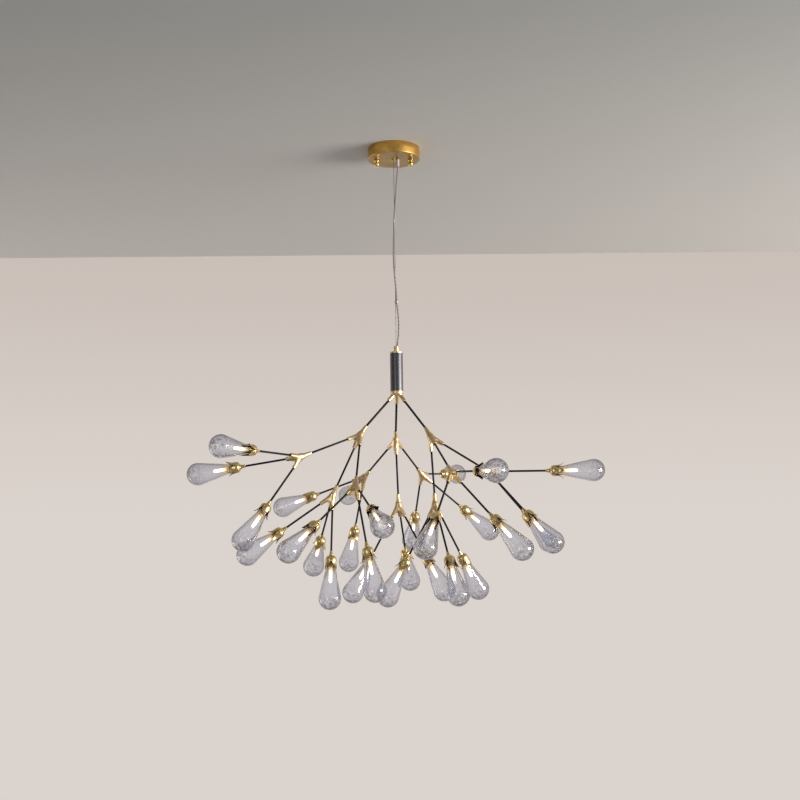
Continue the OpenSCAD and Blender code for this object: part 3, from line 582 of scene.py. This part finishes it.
cap_section = crisp([(0, CAP_Z), (SPIGOT_R, CAP_Z - SPIGOT_H), (STEM_R, CAP_Z),
                     (STEM_R, GRIPPER_Z - CAP_BEVEL), (STEM_R - CAP_BEVEL, GRIPPER_Z),
                     (CAP_ROW, GRIPPER_Z), (0, GRIPPER_Z)])
piece(surface("stem_cap_disc", turned_grid(cap_section, STEM_SIDES), satin_brass), "fixture",
      "satin_brass", "stem_cap")
tube_top, tube_bottom = CAP_Z - TUBE_GAP, HUB_Z + TUBE_GAP
tube_section = crisp([(STEM_R - STEM_WALL, tube_bottom), (STEM_R - CHAMFER, tube_bottom),
                      (STEM_R, tube_bottom + CHAMFER), (STEM_R, (tube_top + tube_bottom) / 2),
                      (STEM_R, tube_top - CHAMFER), (STEM_R - CHAMFER, tube_top),
                      (STEM_R - STEM_WALL, tube_top), (STEM_R - STEM_WALL, tube_bottom)])
piece(surface("stem_sleeve", turned_grid(tube_section, STEM_SIDES), stem_black), "fixture", "satin_black",
      "stem_tube")


# Hub and three-way joints
# Lost-wax brass castings, satin tumbled. The hub is a shallow bowl with three short sockets. Each
# joint flows from its neck into three splayed arms with webs between them, cut square and drilled
# for the rods, and is turned on its rod so that the lamp spreads like a bare tree.

MAIN_RUN, BRANCH_RUN, LAMP_RUN = 0.115, 0.091, 0.090
ARM_OUT, ARM_RISE, ARM_SPLAY, NECK_SKEW = 0.018, 0.053, 32, 6.5
MAIN_SPLAY, MAIN_TURN, MAIN_ROLL = (44, 45.5, 40), (211, 92.5, 326), (69, 116, 6)
BRANCH_ROLL = ((28, 66, 116), (90, 78, 75), (96, 34, 80))
SIDES, CLUSTERS = ("left", "rear", "right"), ("a", "b", "c")


def main_rod_frame(i):
    """Frame at the hub's centre, along main rod i."""
    return moved(0, 0, HUB_Z) @ turned("Z", MAIN_TURN[i]) @ turned("Y", 180 - MAIN_SPLAY[i])


def main_joint_frame(i):
    """Frame at the inlet of main joint i, along its axis."""
    return (main_rod_frame(i) @ moved(0, 0, MAIN_RUN) @ turned("Y", NECK_SKEW)
            @ turned("Z", MAIN_ROLL[i]))


def arm_frame(k):
    """Frame at the end of arm k of a joint, seen from its inlet."""
    return turned("Z", 120 * k) @ moved(ARM_OUT, 0, ARM_RISE) @ turned("Y", ARM_SPLAY)


def branch_joint_frame(i, j):
    """Frame at the inlet of branch joint j on main joint i."""
    return (main_joint_frame(i) @ arm_frame(j) @ moved(0, 0, BRANCH_RUN)
            @ turned("Z", BRANCH_ROLL[i][j]))


def lamp_frame(i, j, k):
    """Frame of the lamp on arm k of that branch joint, at its rod's end."""
    return branch_joint_frame(i, j) @ arm_frame(k) @ moved(0, 0, LAMP_RUN)


def soft_union(a, b, k):
    """Smooth minimum of two distance fields: min(a, b) less h^2 k / 4, with h = 1 - |a - b| / k
    where that is above zero, so the solids run together over a fillet of about k."""
    h = np.maximum(1 - np.abs(a - b) / k, 0)
    return np.minimum(a, b) - h * h * k / 4


def round_cone(p, a, b, ra, rb):
    """Distance to a bar from a to b whose radius runs evenly from ra to rb: that to the nearest
    point of its axis, less the radius there."""
    a, b = np.asarray(a, float), np.asarray(b, float)
    d = b - a
    t = np.clip(((p - a) @ d) / (d @ d), 0, 1)
    return np.linalg.norm(p - a - t[..., None] * d, axis=-1) - (ra + (rb - ra) * t)


def field_surface(field, low, high, step):
    """Vertices and quads of the surface where a field is zero. Space is cut into cubes; a cube with
    both signs at its corners gets one vertex, at the mean of its edges' zero points, and each grid
    edge that changes sign gets a quad through the four cubes round it. Three Newton steps along the
    field's slope then set each vertex on the true surface."""
    tiny, flattest = 0.00001, 0.05
    axes = [np.arange(a, b + step, step) for a, b in zip(low, high)]
    at = np.stack(np.meshgrid(*axes, indexing="ij"), -1)
    f = field(at)
    size = np.array(f.shape)
    total, count = np.zeros((*(size - 1), 3)), np.zeros(size - 1)
    quads = []
    for axis in range(3):
        near = [slice(None)] * 3
        far = [slice(None)] * 3
        near[axis], far[axis] = slice(0, -1), slice(1, None)
        fa, fb = f[tuple(near)], f[tuple(far)]
        cross = (fa < 0) != (fb < 0)
        share = np.where(cross, fa / np.where(cross, fa - fb, 1), 0)[..., None]
        point = at[tuple(near)] * (1 - share) + at[tuple(far)] * share
        u, v = [n for n in range(3) if n != axis]
        for du in (0, 1):
            for dv in (0, 1):
                part = [slice(None)] * 3
                part[u] = slice(0, -1) if du == 0 else slice(1, None)
                part[v] = slice(0, -1) if dv == 0 else slice(1, None)
                hit = cross[tuple(part)]
                total += point[tuple(part)] * hit[..., None]
                count += hit
        index = np.argwhere(cross)
        index = index[((index[:, [u, v]] > 0) & (index[:, [u, v]] < size[[u, v]] - 1)).all(1)]
        rising = fa[tuple(index.T)] < 0
        corner = []
        for du, dv in ((-1, -1), (0, -1), (0, 0), (-1, 0)):
            cell = index.copy()
            cell[:, u] += du
            cell[:, v] += dv
            corner.append(np.ravel_multi_index(tuple(cell.T), tuple(size - 1)))
        quad = np.stack(corner, -1)
        flip = rising if axis != 1 else ~rising
        quads.append(np.where(flip[:, None], quad, quad[:, ::-1]))
    active = np.flatnonzero(count.ravel())
    number = np.full(count.size, -1)
    number[active] = np.arange(len(active))
    vertices = total.reshape(-1, 3)[active] / count.ravel()[active][:, None]
    for _ in range(3):
        slope = np.stack([field(vertices + way) - field(vertices - way) for way in tiny * np.eye(3)], -1)
        slope /= 2 * tiny
        steep = np.maximum((slope ** 2).sum(-1, keepdims=True), flattest)
        move = field(vertices)[:, None] * slope / steep
        vertices = vertices - np.clip(move, -step / 2, step / 2)
    return vertices, number[np.concatenate(quads)]


def cast_piece(name, vertices, quads, material, frames):
    """The same casting set into each frame, as one mesh."""
    points = np.concatenate([placed(vertices, at) for at in frames])
    polygons = np.concatenate([quads + n * len(vertices) for n in range(len(frames))])
    return smooth_piece(name, points, polygons.tolist(), material)


# The arms' axes meet the neck's at the height ARM_MEET.
ARM_MEET = ARM_RISE - ARM_OUT / np.tan(np.radians(ARM_SPLAY))
BODY_Z, NECK_ROOT_R, BODY_R, ARM_ROOT_R, ARM_TIP_R = ARM_MEET + 0.001, 0.0033, 0.0060, 0.0046, 0.0031
WEB_HALF, CROTCH_R, SCOOP_AT = 0.0023, 0.0088, 0.040
SCOOP_FILLET, WEB_FILLET, ARM_FILLET, CUT_FILLET, PAST_CUT = 0.002, 0.009, 0.0045, 0.0009, 0.004
JOINT_BOX, JOINT_CUBE = ((-0.026, -0.026, -0.003), (0.026, 0.026, 0.058)), 0.00075


def joint_field(p):
    """A neck that widens downwards and three tapering arms, with a web between the arms: a conical
    shell through their axes, scooped out between each two arms by a large upright cylinder. All
    runs together softly and is cut square at its four ends."""
    radius = np.linalg.norm(p[..., :2], axis=-1)
    slope = np.radians(ARM_SPLAY)
    web = np.abs(radius * np.cos(slope) - (p[..., 2] - ARM_MEET) * np.sin(slope)) - WEB_HALF
    for k in range(3):
        at = SCOOP_AT * np.array([np.cos(np.radians(60 + 120 * k)), np.sin(np.radians(60 + 120 * k))])
        scoop = SCOOP_AT - CROTCH_R - np.linalg.norm(p[..., :2] - at, axis=-1)
        web = -soft_union(-web, -scoop, SCOOP_FILLET)
    solid = round_cone(p, (0, 0, -PAST_CUT), (0, 0, BODY_Z), NECK_ROOT_R, BODY_R)
    solid = soft_union(solid, web, WEB_FILLET)
    cut = -p[..., 2]
    for k in range(3):
        end = arm_frame(k)
        tip, way = end[:3, 3], end[:3, 2]
        arm = round_cone(p, (0, 0, ARM_MEET), tip + PAST_CUT * way, ARM_ROOT_R, ARM_TIP_R)
        solid = soft_union(solid, arm, ARM_FILLET)
        cut = np.maximum(cut, (p - tip) @ way)
    return -soft_union(-solid, -cut, CUT_FILLET)


joint_vertices, joint_quads = field_surface(joint_field, *JOINT_BOX, JOINT_CUBE)
BOWL_DEPTH, SOCKET_REACH, SOCKET_R = 0.0125, 0.033, 0.0047
SOCKET_FROM, SOCKET_PAST, SOCKET_CUT, SOCKET_FILLET, BOWL_CUT = 0.004, 0.006, 0.0008, 0.0016, 0.0006
HUB_BOX, HUB_CUBE = ((-0.026, -0.022, -0.034), (0.028, 0.032, 0.003)), 0.0006


def hub_field(p):
    """A full round bowl under the tube's rim, where the cubes of radius and depth over their own
    limits add up to one, with three square-cut sockets."""
    radius = np.linalg.norm(p[..., :2], axis=-1)
    scale = np.cbrt((radius / STEM_R) ** 3 + np.abs(p[..., 2] / BOWL_DEPTH) ** 3)
    solid = np.maximum((scale - 1) * BOWL_DEPTH, p[..., 2])
    for i in range(3):
        way = main_rod_frame(i)[:3, 2]
        arm = round_cone(p, SOCKET_FROM * way, (SOCKET_REACH + SOCKET_PAST) * way, SOCKET_R, SOCKET_R)
        arm = -soft_union(-arm, -(p @ way - SOCKET_REACH), SOCKET_CUT)
        solid = soft_union(solid, arm, SOCKET_FILLET)
    return -soft_union(-solid, -p[..., 2], BOWL_CUT)


hub_vertices, hub_quads = field_surface(hub_field, *HUB_BOX, HUB_CUBE)
piece(cast_piece("hub", hub_vertices, hub_quads, satin_brass, [moved(0, 0, HUB_Z)]), "fixture",
      "satin_brass", "hub_casting")
for i, side in enumerate(SIDES):
    piece(cast_piece(f"{side}_main_fork", joint_vertices, joint_quads, satin_brass,
                     [main_joint_frame(i)]), "fixture", "satin_brass", f"{side}_main_joint")
    piece(cast_piece(f"{side}_branch_forks", joint_vertices, joint_quads, satin_brass,
                     [branch_joint_frame(i, j) for j in range(3)]), "fixture", "satin_brass",
          f"{side}_branch_joints")


# Rods
# Straight steel rods in matt black powder coat, 5 mm for the three main ones and 4.4 mm for the
# branch and lamp rods, pushed 9.7 mm deep into the castings and 7.7 mm into the calyxes.

MAIN_ROD_R, ROD_R, INSERT, CALYX_INSERT = 0.0025, 0.0022, 0.0097, 0.0077
ROD_CHAMFER, ROD_SIDES = 0.0004, 20
powder_black, tree, shader, _ = marked_metal("black_powder_coat", (0.007, 0.006, 0.0065),
                                             (0.004, 0.0035, 0.004), 0.36, 0.46, patch=120, grain=2600,
                                             metallic=0.0)
feed(tree, shader, {"Specular IOR Level": 0.18})


def rod_grid(radius, start, end):
    """A bar along z with broken edges: its section is carried round the axis."""
    return turned_grid([(0, start), (radius - ROD_CHAMFER, start), (radius, start + ROD_CHAMFER),
                        (radius, (start + end) / 2), (radius, end - ROD_CHAMFER),
                        (radius - ROD_CHAMFER, end), (0, end)], ROD_SIDES)


main_rod = rod_grid(MAIN_ROD_R, SOCKET_REACH - INSERT, MAIN_RUN + INSERT)
branch_rod = rod_grid(ROD_R, -INSERT, BRANCH_RUN + INSERT)
lamp_rod = rod_grid(ROD_R, -INSERT, LAMP_RUN + CALYX_INSERT)
for i, side in enumerate(SIDES):
    arms = [main_joint_frame(i) @ arm_frame(j) for j in range(3)]
    twigs = [branch_joint_frame(i, j) @ arm_frame(k) for j in range(3) for k in range(3)]
    for kind, grid, frames in (("main_rod", main_rod, [main_rod_frame(i)]),
                               ("branch_rods", branch_rod, arms), ("lamp_rods", lamp_rod, twigs)):
        piece(surface(f"{side}_{kind}_black", grid, powder_black, frames), "fixture", "satin_black",
              f"{side}_{kind}")


# Calyxes
# Spun and cut brass sheet of 1 mm: a short collar on the rod, a round cup and four pointed petals that open
# round the neck of the glass. Polished outside, with painted shade darkening the petals' edges and the
# inside of the cup.

PETAL_BASE, PETAL_REACH, PETAL_ROOT_R, CUP_R, PETAL_R = 0.0180, 0.039, 0.0123, 0.0125, 0.0178
PETAL_TALL, LEAF, GAP_RISE, TIP_EDGE = PETAL_REACH - PETAL_BASE, 0.0010, 0.0008, 0.0002
SWELL, DRAWN_IN, GAP_OUT, GROOVE, GROOVE_FROM, GROOVE_OVER = 0.0002, 0.0004, 0.07, 0.06, 0.0105, 0.005
SWELL_SPAN, FALL, EDGE_FADE, EDGE_FROM = 2.2, 0.66, 0.0011, 0.0170
CALYX_SIDES, OUTER_ROWS, INNER_ROWS = 96, 15, 11
COLLAR_AND_CUP = 0.001 * np.array([
    (0, 0.0), (3.0, 0.0), (3.3, 0.3), (3.4, 1.6), (3.7, 4.0), (4.3, 6.6), (4.75, 7.9), (4.75, 8.6),
    (4.6, 9.5), (5.4, 10.3), (7.3, 11.2), (9.3, 12.4), (10.9, 14.1), (11.8, 16.2), (12.1, 18.0)])
CUP_FLOOR = 0.001 * np.array([(11.0, 17.6), (10.2, 16.2), (8.2, 15.2), (4.0, 14.9), (0, 14.9)])


def calyx_grid():
    """Outside rows run up a turned section, from the collar to where the petals part, and then share
    out each direction's petal height, which falls from the tip to the gap as (1 - t)^0.66, with t
    the share of the way from a petal's middle to its gap. The petals swell at the root and draw in
    above it, each as a sine, and curl out at their tips as the height cubed. Below each gap a groove
    as t^8 marks the seam of two petals. Inside rows run back down a leaf's thickness inwards to the
    cup's floor. The mark edge is e to the minus d, with d the distance below the petals' edge over
    EDGE_FADE, and the mark inside is 1 on the inside rows."""
    turn = 2 * np.pi * np.arange(CALYX_SIDES) / CALYX_SIDES
    t = np.abs((turn / (np.pi / 2) + 0.5) % 1 - 0.5) * 2
    tall = GAP_RISE + (PETAL_TALL - GAP_RISE) * (1 - t) ** FALL

    def petal(share):
        """Radius and height at a share of each direction's petal."""
        rise = share * tall / PETAL_TALL
        swell = SWELL * np.sin(np.pi * np.clip(rise * SWELL_SPAN, 0, 1)) - DRAWN_IN * np.sin(np.pi * rise)
        r = PETAL_ROOT_R + swell + (PETAL_R - CUP_R) * rise ** 3
        return r * (1 + GAP_OUT * t ** 2 * rise), PETAL_BASE + share * tall

    flat = np.ones(CALYX_SIDES)
    share = np.linspace(0, 1, OUTER_ROWS)[1:, None]
    out_r, out_z = petal(share)
    in_r, in_z = petal(np.linspace(1, 0, INNER_ROWS)[:, None])
    edge_z = out_z[-1:] + TIP_EDGE
    seam = 1 - GROOVE * np.clip((COLLAR_AND_CUP[:, 1:] - GROOVE_FROM) / GROOVE_OVER, 0, 1) * t ** 8
    out_r = out_r * (1 - GROOVE * t ** 8 * (1 - share))
    r = np.vstack([COLLAR_AND_CUP[:, :1] * seam, out_r, out_r[-1:] - LEAF / 2, in_r - LEAF,
                   CUP_FLOOR[:, :1] * flat])
    z = np.vstack([COLLAR_AND_CUP[:, 1:] * flat, out_z, edge_z, in_z, CUP_FLOOR[:, 1:] * flat])
    outside = len(COLLAR_AND_CUP) + len(out_r)
    inside = np.zeros(r.shape)
    inside[outside:] = 1
    edge = np.exp(-np.clip(PETAL_BASE + tall - z, 0, 1) / EDGE_FADE) * (z > EDGE_FROM)
    return np.stack([r * np.cos(turn), r * np.sin(turn), z], -1), {"edge": edge, "inside": inside}


calyx_brass, tree, shader, colour = marked_metal("calyx_brass", (0.84, 0.66, 0.35), (0.54, 0.39, 0.16),
                                                 0.20, 0.36, patch=110, grain=2000, relief=0.00001)
# Painted shade: the petals' cut edges and the inside of the cup are darkened to a deep brown.
for place, painted_shade in (("edge", (0.16, 0.095, 0.035, 1)), ("inside", (0.11, 0.075, 0.035, 1))):
    colour = mixed(tree, mark(tree, place), colour, painted_shade)
feed(tree, shader, {"Base Color": colour})
calyx, calyx_marks = calyx_grid()
for i, side in enumerate(SIDES):
    for j, cluster in enumerate(CLUSTERS):
        piece(surface(f"{side}_calyx_{cluster}", calyx, calyx_brass,
                      [lamp_frame(i, j, k) for k in range(3)], calyx_marks),
              "fixture", "calyx_brass", f"{side}_calyxes_{cluster}")


# Lamp holders and capsule lamps
# A glazed cream porcelain holder stands in each cup, and a small capsule lamp plugs into it: a
# cream base and a frosted cover of 6.6 mm over its lighted strip, which glares white.

LIT_FROM, LIT_OVER, LAMP_SIDES, HOLDER_SIDES = 0.0385, 0.020, 24, 32
porcelain, *_ = marked_metal("cream_porcelain", (0.84, 0.78, 0.62), (0.74, 0.66, 0.48), 0.18, 0.30,
                             patch=200, grain=700, metallic=0.0)
holder_section = crisp(0.001 * np.array([(0, 15.1), (7.4, 15.1), (7.7, 15.4), (7.7, 20.8), (7.4, 21.1),
                                         (5.4, 21.1), (5.4, 34.2), (5.0, 35.0), (0, 35.0)]))
lamp_section = crisp(0.001 * np.array([(0, 35.1), (4.2, 35.1), (4.4, 35.4), (4.4, 38.8), (3.6, 39.2),
                                       (3.4, 41.0), (3.3, 50.0), (3.3, 60.0), (3.2, 66.1),
                                       (2.9, 67.8), (2.2, 69.1), (1.2, 69.85), (0, 70.0)]))
glow, tree, shader = new_material("frosted_capsule", {"Roughness": 0.45, "Emission Strength": 3.2})
feed(tree, shader, {
    "Emission Color": ramp(tree, mark(tree, "lit"), (0, (0.10, 0.065, 0.03)), (0.30, (0.50, 0.36, 0.20)),
                           (0.60, (0.92, 0.74, 0.48)), (1, (1.0, 0.90, 0.74))),
    "Base Color": ramp(tree, noise(tree, 900), (0, (0.82, 0.76, 0.60)), (1, (0.94, 0.91, 0.82)))})
lamp_grid = turned_grid(lamp_section, LAMP_SIDES)
lit_share = np.clip((lamp_grid[..., 2] - LIT_FROM) / LIT_OVER, 0, 1)
for i, side in enumerate(SIDES):
    frames = [lamp_frame(i, j, k) for j in range(3) for k in range(3)]
    piece(surface(f"{side}_holders", turned_grid(holder_section, HOLDER_SIDES), porcelain, frames),
          "fixture", "holder_cream", f"{side}_lamp_holders")
    piece(surface(f"{side}_capsules", lamp_grid, glow, frames, {"lit": lit_share}), "fixture",
          "lamp_glow", f"{side}_led_lamps")


# Glass drops
# Mouth-blown smoked glass, 1.6 mm thick and 49 mm across: a straight neck held in the petals, a
# soft flare into a long cone and a round closed end.

NECK_END, SHADE_START, SHADE_NECK_R, SHADE_R, SHADE_REACH, SHADE_WALL = (
    0.028, 0.019, 0.0098, 0.02445, 0.104, 0.0016)
TAPER, NECK_ROW, LIP_R = np.radians(12), 0.023, 0.0090
DROP_SIDES, FLARE_ROWS, CONE_ROWS, END_ROWS = 64, 6, 12, 22
BLOWN_FROM, BLOWN_OVER, BLOWN_LEAST = 0.090, 0.036, 0.02
WARM_TO, WARM_OVER, WARM_MOST = 0.056, 0.028, 0.8


def drop_section(inset):
    """From the mouth to the pole: a straight neck, an arc that leaves it tangentially, a straight
    cone of 12 degrees and the arc of the round end, all drawn in by the inset. The neck's arc has
    the radius that puts its end and the round end's start on one line of that slope."""
    r, neck = SHADE_R - inset, SHADE_NECK_R - inset
    arc = ((SHADE_NECK_R * np.cos(TAPER) - NECK_END * np.sin(TAPER)
            - (SHADE_R - SHADE_REACH * np.sin(TAPER))) / (1 - np.cos(TAPER))) + inset
    a = np.linspace(0, TAPER, FLARE_ROWS)
    flare = np.stack([neck + arc - arc * np.cos(a), NECK_END + arc * np.sin(a)], -1)
    b = np.linspace(-TAPER, np.pi / 2, END_ROWS)
    end = np.stack([r * np.cos(b), SHADE_REACH + r * np.sin(b)], -1)
    cone = flare[-1] + np.linspace(0, 1, CONE_ROWS)[1:-1, None] * (end[0] - flare[-1])
    start = np.array([(neck, SHADE_START), (neck, NECK_ROW)])
    return np.vstack([start, flare, cone, end])


outer, inner = drop_section(0), drop_section(SHADE_WALL)
lip = np.array([(LIP_R, SHADE_START)])
section = np.vstack([inner[::-1], lip, outer])
section[[0, -1], 0] = 0
smoke, tree, shader = new_material("smoked_glass", {
    "Roughness": 0.0, "IOR": 1.47, "Transmission Weight": 1.0})
# The smoke's tone darkens towards each drop's outline as the glass turns from the eye: painted shade, with
# random cloudy noise in the tint.
slant = add(tree, "LayerWeight", {"Blend": 0.35}).outputs["Facing"]
cloud_and_rim_shade = add(tree, "Math", {0: noise(tree, 38, 3), 1: 0.22, 2: slant}, operation="MULTIPLY_ADD").outputs[0]
colour = ramp(tree, cloud_and_rim_shade, (0, (0.91, 0.925, 0.965)), (0.42, (0.80, 0.81, 0.87)),
              (0.72, (0.40, 0.395, 0.44)), (0.92, (0.05, 0.045, 0.06)))
ripple, blown = noise(tree, 170, 3), mark(tree, "blown_end")
# At the round end the colour is darkened in crinkled patches: painted shade for dark refractions, beside
# the ripple's relief.
crinkle_shade = add(tree, "MapRange", {"Value": ripple, "From Min": 0.39, "From Max": 0.52, "To Min": 0.50,
                                 "To Max": 1.0}).outputs[0]
colour = mixed(tree, blown, colour, crinkle_shade, "MULTIPLY")
# Near the neck the glass is tinted warm: a painted glow of the lamp and the brass round it.
colour = mixed(tree, mark(tree, "painted_neck_glow"), colour, (0.86, 0.72, 0.50, 1))
feed(tree, shader, {"Base Color": colour})
raised(tree, shader, add(tree, "Math", {0: ripple, 1: blown}, operation="MULTIPLY").outputs[0], 0.0012, 0.5)
drop = turned_grid(section, DROP_SIDES)
blown_end = np.clip((drop[..., 2] - BLOWN_FROM) / BLOWN_OVER, BLOWN_LEAST, 1)
painted_neck_glow = WARM_MOST * np.clip((WARM_TO - drop[..., 2]) / WARM_OVER, 0, 1)
for i, side in enumerate(SIDES):
    for j, cluster in enumerate(CLUSTERS):
        piece(surface(f"{side}_drops_{cluster}", drop, smoke, [lamp_frame(i, j, k) for k in range(3)],
                      {"blown_end": blown_end, "painted_neck_glow": painted_neck_glow}), "fixture", "smoked_glass",
              f"{side}_shades_{cluster}")
